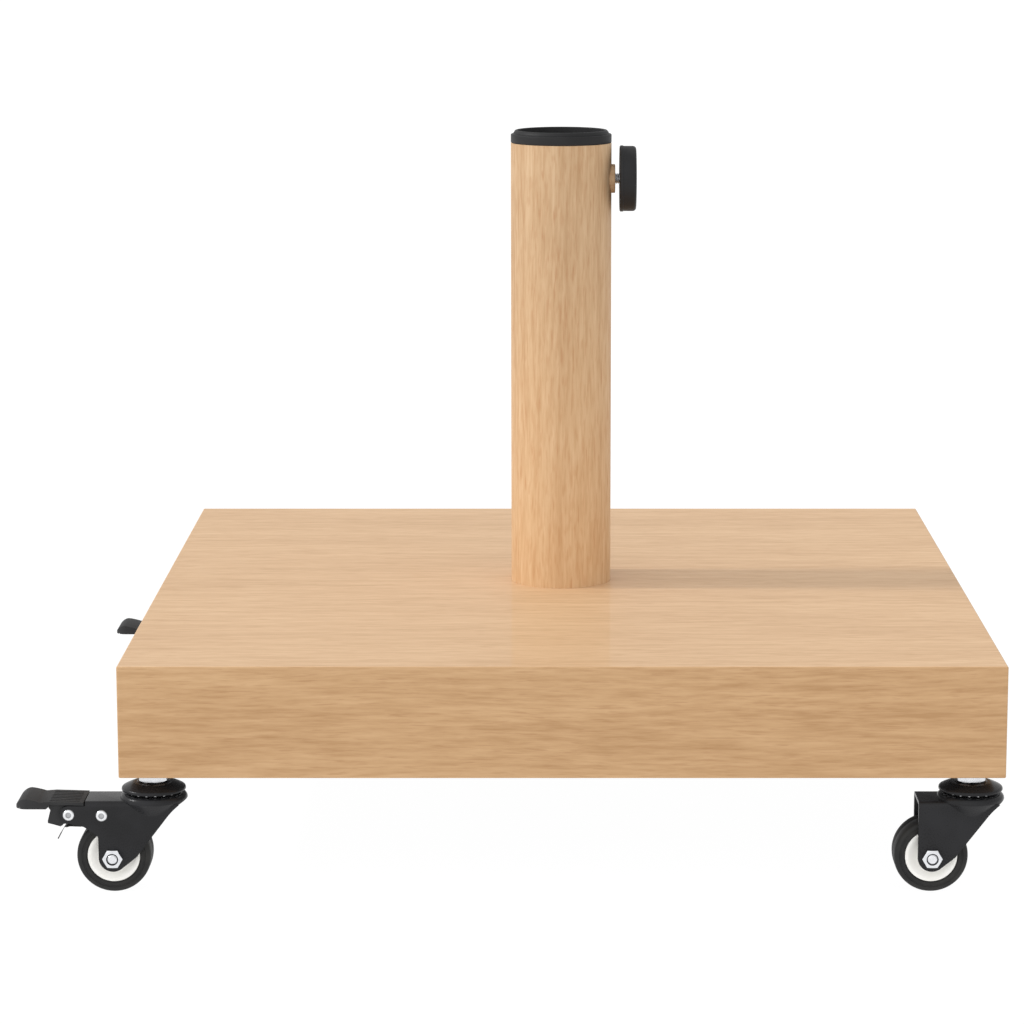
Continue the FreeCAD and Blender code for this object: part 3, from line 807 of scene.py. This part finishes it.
def makeScrew():
    low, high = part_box("clamp_screw")
    middle = (low.z + high.z) / 2
    crest = (high.z - low.z) / 2
    root = crest - threadSettings["depth"]
    pitch = threadSettings["pitch"]
    turns = int((high.x - low.x) / pitch) - 1
    rise, fall = threadSettings["crest"]
    tooth = [(0.0, root), (rise, crest), (fall, crest), (1.0, root)]
    deselectAll()
    bpy.ops.mesh.primitive_plane_add(size=mm, location=(low.x, 0, root))
    piece = bpy.context.object
    piece.name = "clampScrew"
    bpy.ops.object.transform_apply(location=True, rotation=True, scale=True)
    bpy.ops.object.mode_set(mode="EDIT")
    bpy.ops.mesh.select_all(action="SELECT")
    bpy.ops.mesh.merge(type="CENTER")
    for (x, reach), (nextX, nextReach) in zip(tooth, tooth[1:]):
        step = ((nextX - x) * pitch, 0, nextReach - reach)
        bpy.ops.mesh.extrude_vertices_move(TRANSFORM_OT_translate={"value": step})
    bpy.ops.object.mode_set(mode="OBJECT")
    thread = piece.modifiers.new("thread", "SCREW")
    thread.axis = "X"
    thread.screw_offset = pitch
    thread.iterations = turns
    thread.steps = thread.render_steps = threadSettings["steps"]
    thread.use_merge_vertices = True
    thread.merge_threshold = weld
    bpy.ops.object.modifier_apply(modifier="thread")
    bpy.ops.object.mode_set(mode="EDIT")
    bpy.ops.mesh.select_all(action="SELECT")
    bpy.ops.mesh.remove_doubles(threshold=weld)
    bpy.ops.mesh.select_all(action="DESELECT")
    bpy.ops.mesh.select_non_manifold()
    bpy.ops.mesh.fill(use_beauty=True)
    bpy.ops.mesh.select_all(action="SELECT")
    bpy.ops.mesh.normals_make_consistent(inside=False)
    bpy.ops.transform.translate(value=(0, 0, middle))
    bpy.ops.object.mode_set(mode="OBJECT")
    finishPiece(piece, "zinc", "clamp_handle", ["clamp_screw"])


# Caster domes: pressed caps with a raised seat for the nut and a rolled lower edge

domeSettings = {
    "stem": 4.0 * mm,
    "skin": 1.2 * mm,
    "land": 8.0 * mm,
    "landStep": 0.35 * mm,
    "landSlope": 0.5 * mm,
    "seat": 10.4 * mm,
    "waist": 14.2 * mm,
    "waistDrop": 1.9 * mm,
    "waistTuck": 1.0 * mm,
    "roll": 1.5 * mm,
    "rollTuck": 0.2 * mm,
    "rollInside": 1.2 * mm,
    "segments": 112,
}


def makeDomes():
    low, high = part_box("caster_domes")
    swivel = jointPlaces["front_left_swivel"]
    settings = domeSettings
    radius = swivel.x - low.x
    skin = settings["skin"]
    step = high.z - settings["landStep"]
    drop = high.z - settings["waistDrop"]
    outline = [
        (settings["stem"], high.z),
        (settings["land"], high.z),
        (settings["land"] + settings["landSlope"], step),
        (settings["seat"], step),
        (settings["waist"], drop),
        (radius, low.z + settings["roll"]),
        (radius, low.z),
        (radius - skin, low.z),
        (radius - skin - settings["rollTuck"], low.z + settings["rollInside"]),
        (settings["waist"] - settings["waistTuck"], drop - skin),
        (settings["seat"], step - skin),
        (settings["stem"], step - skin),
    ]
    rounded = {2: 0.2 * mm, 3: 0.8 * mm, 4: 1.6 * mm, 5: 0.7 * mm, 6: 0.5 * mm, 7: 0.4 * mm, 9: 0.8 * mm}
    points = [(reach, 0, z) for reach, z in outline]
    master = drawOutline("domeMaster", points, rounded)
    spinOutline(master, (0, 0, 0), (0, 0, 1), settings["segments"])
    for corner in corners:
        place = jointPlaces[corner + "_swivel"]
        piece = copyTo(master, corner + "_dome", (place.x, place.y, 0))
        finishPiece(piece, "steel", "base", ["caster_domes"])
    bpy.data.objects.remove(master)


# Wheels: a tyre with a ring groove in each side and a mould line, on a dished hub

tyreSettings = {
    "bore": 13.4 * mm,
    "bead": 0.7 * mm,
    "beadDrop": 0.9 * mm,
    "beadRise": 0.15 * mm,
    "grooveAt": 15.9 * mm,
    "grooveHalf": 0.25 * mm,
    "grooveDepth": 0.25 * mm,
    "shoulderIn": 0.4 * mm,
    "shoulderDrop": 0.2 * mm,
    "shoulder": 2.8 * mm,
    "mouldHalf": 0.3 * mm,
    "mouldFloor": 0.05 * mm,
    "mouldDepth": 0.15 * mm,
    "segments": 128,
}
hubSettings = {
    "bore": 3.55 * mm,
    "boss": 5.8 * mm,
    "bossSlope": 0.6 * mm,
    "rim": 12.0 * mm,
    "rimFace": 8.0 * mm,
    "dishFace": 6.2 * mm,
    "dishFoot": 8.2 * mm,
    "segments": 112,
}


def mirroredAcross(half):
    return half + [(reach, -along) for reach, along in reversed(half)]


def spunOnAxle(name, half, roundedHalf, steps):
    outline = mirroredAcross(half)
    last = len(outline) - 1
    rounded = {**roundedHalf, **{last - corner: radius for corner, radius in roundedHalf.items()}}
    piece = drawOutline(name, [(0, along, reach) for reach, along in outline], rounded)
    spinOutline(piece, (0, 0, 0), (0, 1, 0), steps)
    return piece


def makeTyre():
    low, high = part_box("front_left_tyre")
    settings = tyreSettings
    width = (high.y - low.y) / 2
    radius = (high.z - low.z) / 2
    groove, grooveHalf = settings["grooveAt"], settings["grooveHalf"]
    half = [
        (settings["bore"], -width + settings["beadDrop"]),
        (settings["bore"] + settings["bead"], -width + settings["beadRise"]),
        (groove - 2 * grooveHalf, -width),
        (groove - grooveHalf, -width + settings["grooveDepth"]),
        (groove + grooveHalf, -width + settings["grooveDepth"]),
        (groove + 2 * grooveHalf, -width),
        (radius - settings["shoulderIn"], -width + settings["shoulderDrop"]),
        (radius, -width + settings["shoulder"]),
        (radius, -settings["mouldHalf"]),
        (radius - settings["mouldDepth"], -settings["mouldFloor"]),
    ]
    return spunOnAxle("tyreMaster", half, {6: 1.5 * mm, 7: 1.2 * mm}, settings["segments"])


def makeHub():
    settings = hubSettings
    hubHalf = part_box("front_left_hub")[1].y - jointPlaces["front_left_roll"].y
    half = [
        (settings["bore"], -hubHalf),
        (settings["boss"], -hubHalf),
        (settings["boss"] + settings["bossSlope"], -settings["dishFace"]),
        (settings["dishFoot"], -settings["dishFace"]),
        (settings["rim"], -settings["rimFace"]),
        (tyreSettings["bore"], -settings["rimFace"]),
    ]
    rounded = {1: 0.3 * mm, 2: 0.4 * mm, 3: 1.2 * mm, 4: 0.9 * mm, 5: 0.35 * mm}
    return spunOnAxle("hubMaster", half, rounded, settings["segments"])


def makeWheels():
    tyre = makeTyre()
    hub = makeHub()
    for corner in corners:
        place = jointPlaces[corner + "_roll"]
        body = corner + "_wheel"
        finishPiece(copyTo(tyre, corner + "_tread", place), "tyre", body, [corner + "_tyre"])
        finishPiece(copyTo(hub, corner + "_dish", place), "hub", body, [corner + "_hub"])
    bpy.data.objects.remove(tyre)
    bpy.data.objects.remove(hub)


# The nylon ring of each lock nut, which grips the end of the axle bolt

lockRingSettings = {
    "inner": 2.55 * mm,
    "outer": 3.05 * mm,
    "below": 0.25 * mm,      # under the nut's outer end
    "thick": 0.5 * mm,
    "round": 0.12 * mm,
    "segments": 64,
}


def makeLockRings():
    settings = lockRingSettings
    inner, outer = settings["inner"], settings["outer"]
    front = settings["below"]
    back = front + settings["thick"]
    points = [(0, front, inner), (0, front, outer), (0, back, outer), (0, back, inner)]
    rounded = {corner: settings["round"] for corner in range(len(points))}
    ring = drawOutline("lockRingMaster", points, rounded)
    spinOutline(ring, (0, 0, 0), (0, 1, 0), settings["segments"])
    for corner in corners:
        axle = jointPlaces[corner + "_roll"]
        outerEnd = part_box(corner + "_axle_nut")[0].y
        piece = copyTo(ring, corner + "_lock_ring", (axle.x, outerEnd, axle.z))
        finishPiece(piece, "plastic", corner + "_caster", [])
    bpy.data.objects.remove(ring)


# Pressed and moulded parts: the frame's own shape with its sharp edges eased

easeSettings = {
    "flat": math.radians(0.05),      # faces this close to level with each other are one face
    "sharp": math.radians(30),
    "segments": 3,
    "fork": 0.22 * mm,
    "brake_pedal": 0.28 * mm,
    "brake_leaf": 0.10 * mm,
}


def makeEased(node, part, finish, body):
    piece = copyOf(nodes[node], node + "_eased")
    piece.parent = None
    for key in list(piece.keys()):      # the copy is a new piece, so the frame's marks come off it
        del piece[key]
    piece.data.materials.clear()
    bpy.ops.object.mode_set(mode="EDIT")
    bpy.ops.mesh.select_all(action="SELECT")
    bpy.ops.mesh.remove_doubles(threshold=weld)
    bpy.ops.mesh.dissolve_limited(angle_limit=easeSettings["flat"])
    bpy.ops.object.mode_set(mode="OBJECT")
    ease = piece.modifiers.new("ease", "BEVEL")
    ease.width = easeSettings[part]
    ease.segments = easeSettings["segments"]
    ease.limit_method = "ANGLE"
    ease.angle_limit = easeSettings["sharp"]
    ease.use_clamp_overlap = True
    bpy.ops.object.modifier_apply(modifier="ease")
    finishPiece(piece, finish, body, [node])


makePost()
makeCollar()
makeKnob()
makeScrew()
print("post, collar and clamp made")
makeDomes()
makeWheels()
makeLockRings()
for cornerName in corners:
    makeEased(cornerName + "_fork", "fork", "steel", cornerName + "_caster")
for cornerName in brakedCorners:
    makeEased(cornerName + "_brake_pedal", "brake_pedal", "pedal", cornerName + "_pedal")
    makeEased(cornerName + "_brake_leaf", "brake_leaf", "spring", cornerName + "_leaf")
print("casters made")


# Floor, light and camera

stageSettings = {
    "floorSize": 60.0,
    "floorColour": (0.06, 0.06, 0.06),
    "floorGlow": 0.975,
    "floorCloud": 0.8,      # very soft patches, in spots to the metre
    "floorRough": 0.85,
    "skyBack": 0.73,
    "skyFront": 1.34,
    "skyTowards": (-0.42, -0.91, 0.0),      # the side that the soft light comes from
    "sunStrength": 1.24,
    "sunAngle": 5.5,
    "sunTurn": (0.0, -52.0, 0.0),
}


def addFloor():
    bpy.ops.mesh.primitive_plane_add(size=stageSettings["floorSize"], location=(0, 0, 0))
    floor = bpy.context.object
    floor.name = "floor"
    paint = Finish("paleFloor", Specular_IOR_Level=0.1, Emission_Color=(1, 1, 1, 1),
                   Emission_Strength=stageSettings["floorGlow"])
    cloud = paint.noise(paint.place, stageSettings["floorCloud"], 2.0)
    shade = stageSettings["floorColour"]
    paint.colour(paint.ramp(cloud, [(0.0, shade), (1.0, tuple(part * 1.01 for part in shade))]))
    paint.roughness(stageSettings["floorRough"] + cloud * 0.05)
    floor.data.materials.append(paint.material)


def addSky():
    world = bpy.data.worlds.new("studio")
    world.use_nodes = True
    tree = world.node_tree
    background = tree.nodes["Background"]
    background.inputs["Color"].default_value = (1, 1, 1, 1)
    direction = tree.nodes.new("ShaderNodeTexCoord")
    facing = tree.nodes.new("ShaderNodeVectorMath")
    facing.operation = "DOT_PRODUCT"
    facing.inputs[1].default_value = stageSettings["skyTowards"]
    fade = tree.nodes.new("ShaderNodeMapRange")
    fade.inputs["From Min"].default_value = 0.0
    fade.inputs["From Max"].default_value = 1.0
    fade.inputs["To Min"].default_value = stageSettings["skyBack"]
    fade.inputs["To Max"].default_value = stageSettings["skyFront"]
    tree.links.new(direction.outputs["Generated"], facing.inputs[0])
    tree.links.new(facing.outputs["Value"], fade.inputs["Value"])
    seen = tree.nodes.new("ShaderNodeLightPath")      # the wall behind the floor is white too
    wall = tree.nodes.new("ShaderNodeMix")
    wall.inputs[3].default_value = 1.0
    tree.links.new(seen.outputs["Is Camera Ray"], wall.inputs[0])
    tree.links.new(fade.outputs["Result"], wall.inputs[2])
    tree.links.new(wall.outputs[0], background.inputs["Strength"])
    bpy.context.scene.world = world


def addSun():
    bpy.ops.object.light_add(type="SUN")
    sun = bpy.context.object
    sun.data.energy = stageSettings["sunStrength"]
    sun.data.angle = math.radians(stageSettings["sunAngle"])
    sun.rotation_euler = [math.radians(turn) for turn in stageSettings["sunTurn"]]


cameraSettings = {
    "place": (-0.0065, -1.9263, 0.5076),
    "pitch": 10.273,      # degrees below level
    "lens": 121.616,
    "sensor": 36,
    "shift": -0.0366,
}


def addCamera():
    camera = bpy.data.objects.new("camera", bpy.data.cameras.new("camera"))
    bpy.context.scene.collection.objects.link(camera)
    camera.location = cameraSettings["place"]
    camera.rotation_euler = (math.radians(90 - cameraSettings["pitch"]), 0, 0)
    camera.data.lens = cameraSettings["lens"]
    camera.data.sensor_width = cameraSettings["sensor"]
    camera.data.shift_x = cameraSettings["shift"]
    bpy.context.scene.camera = camera


addFloor()
addSky()
addSun()
addCamera()
bpy.context.scene.view_settings.view_transform = "Standard"
print("stage set")
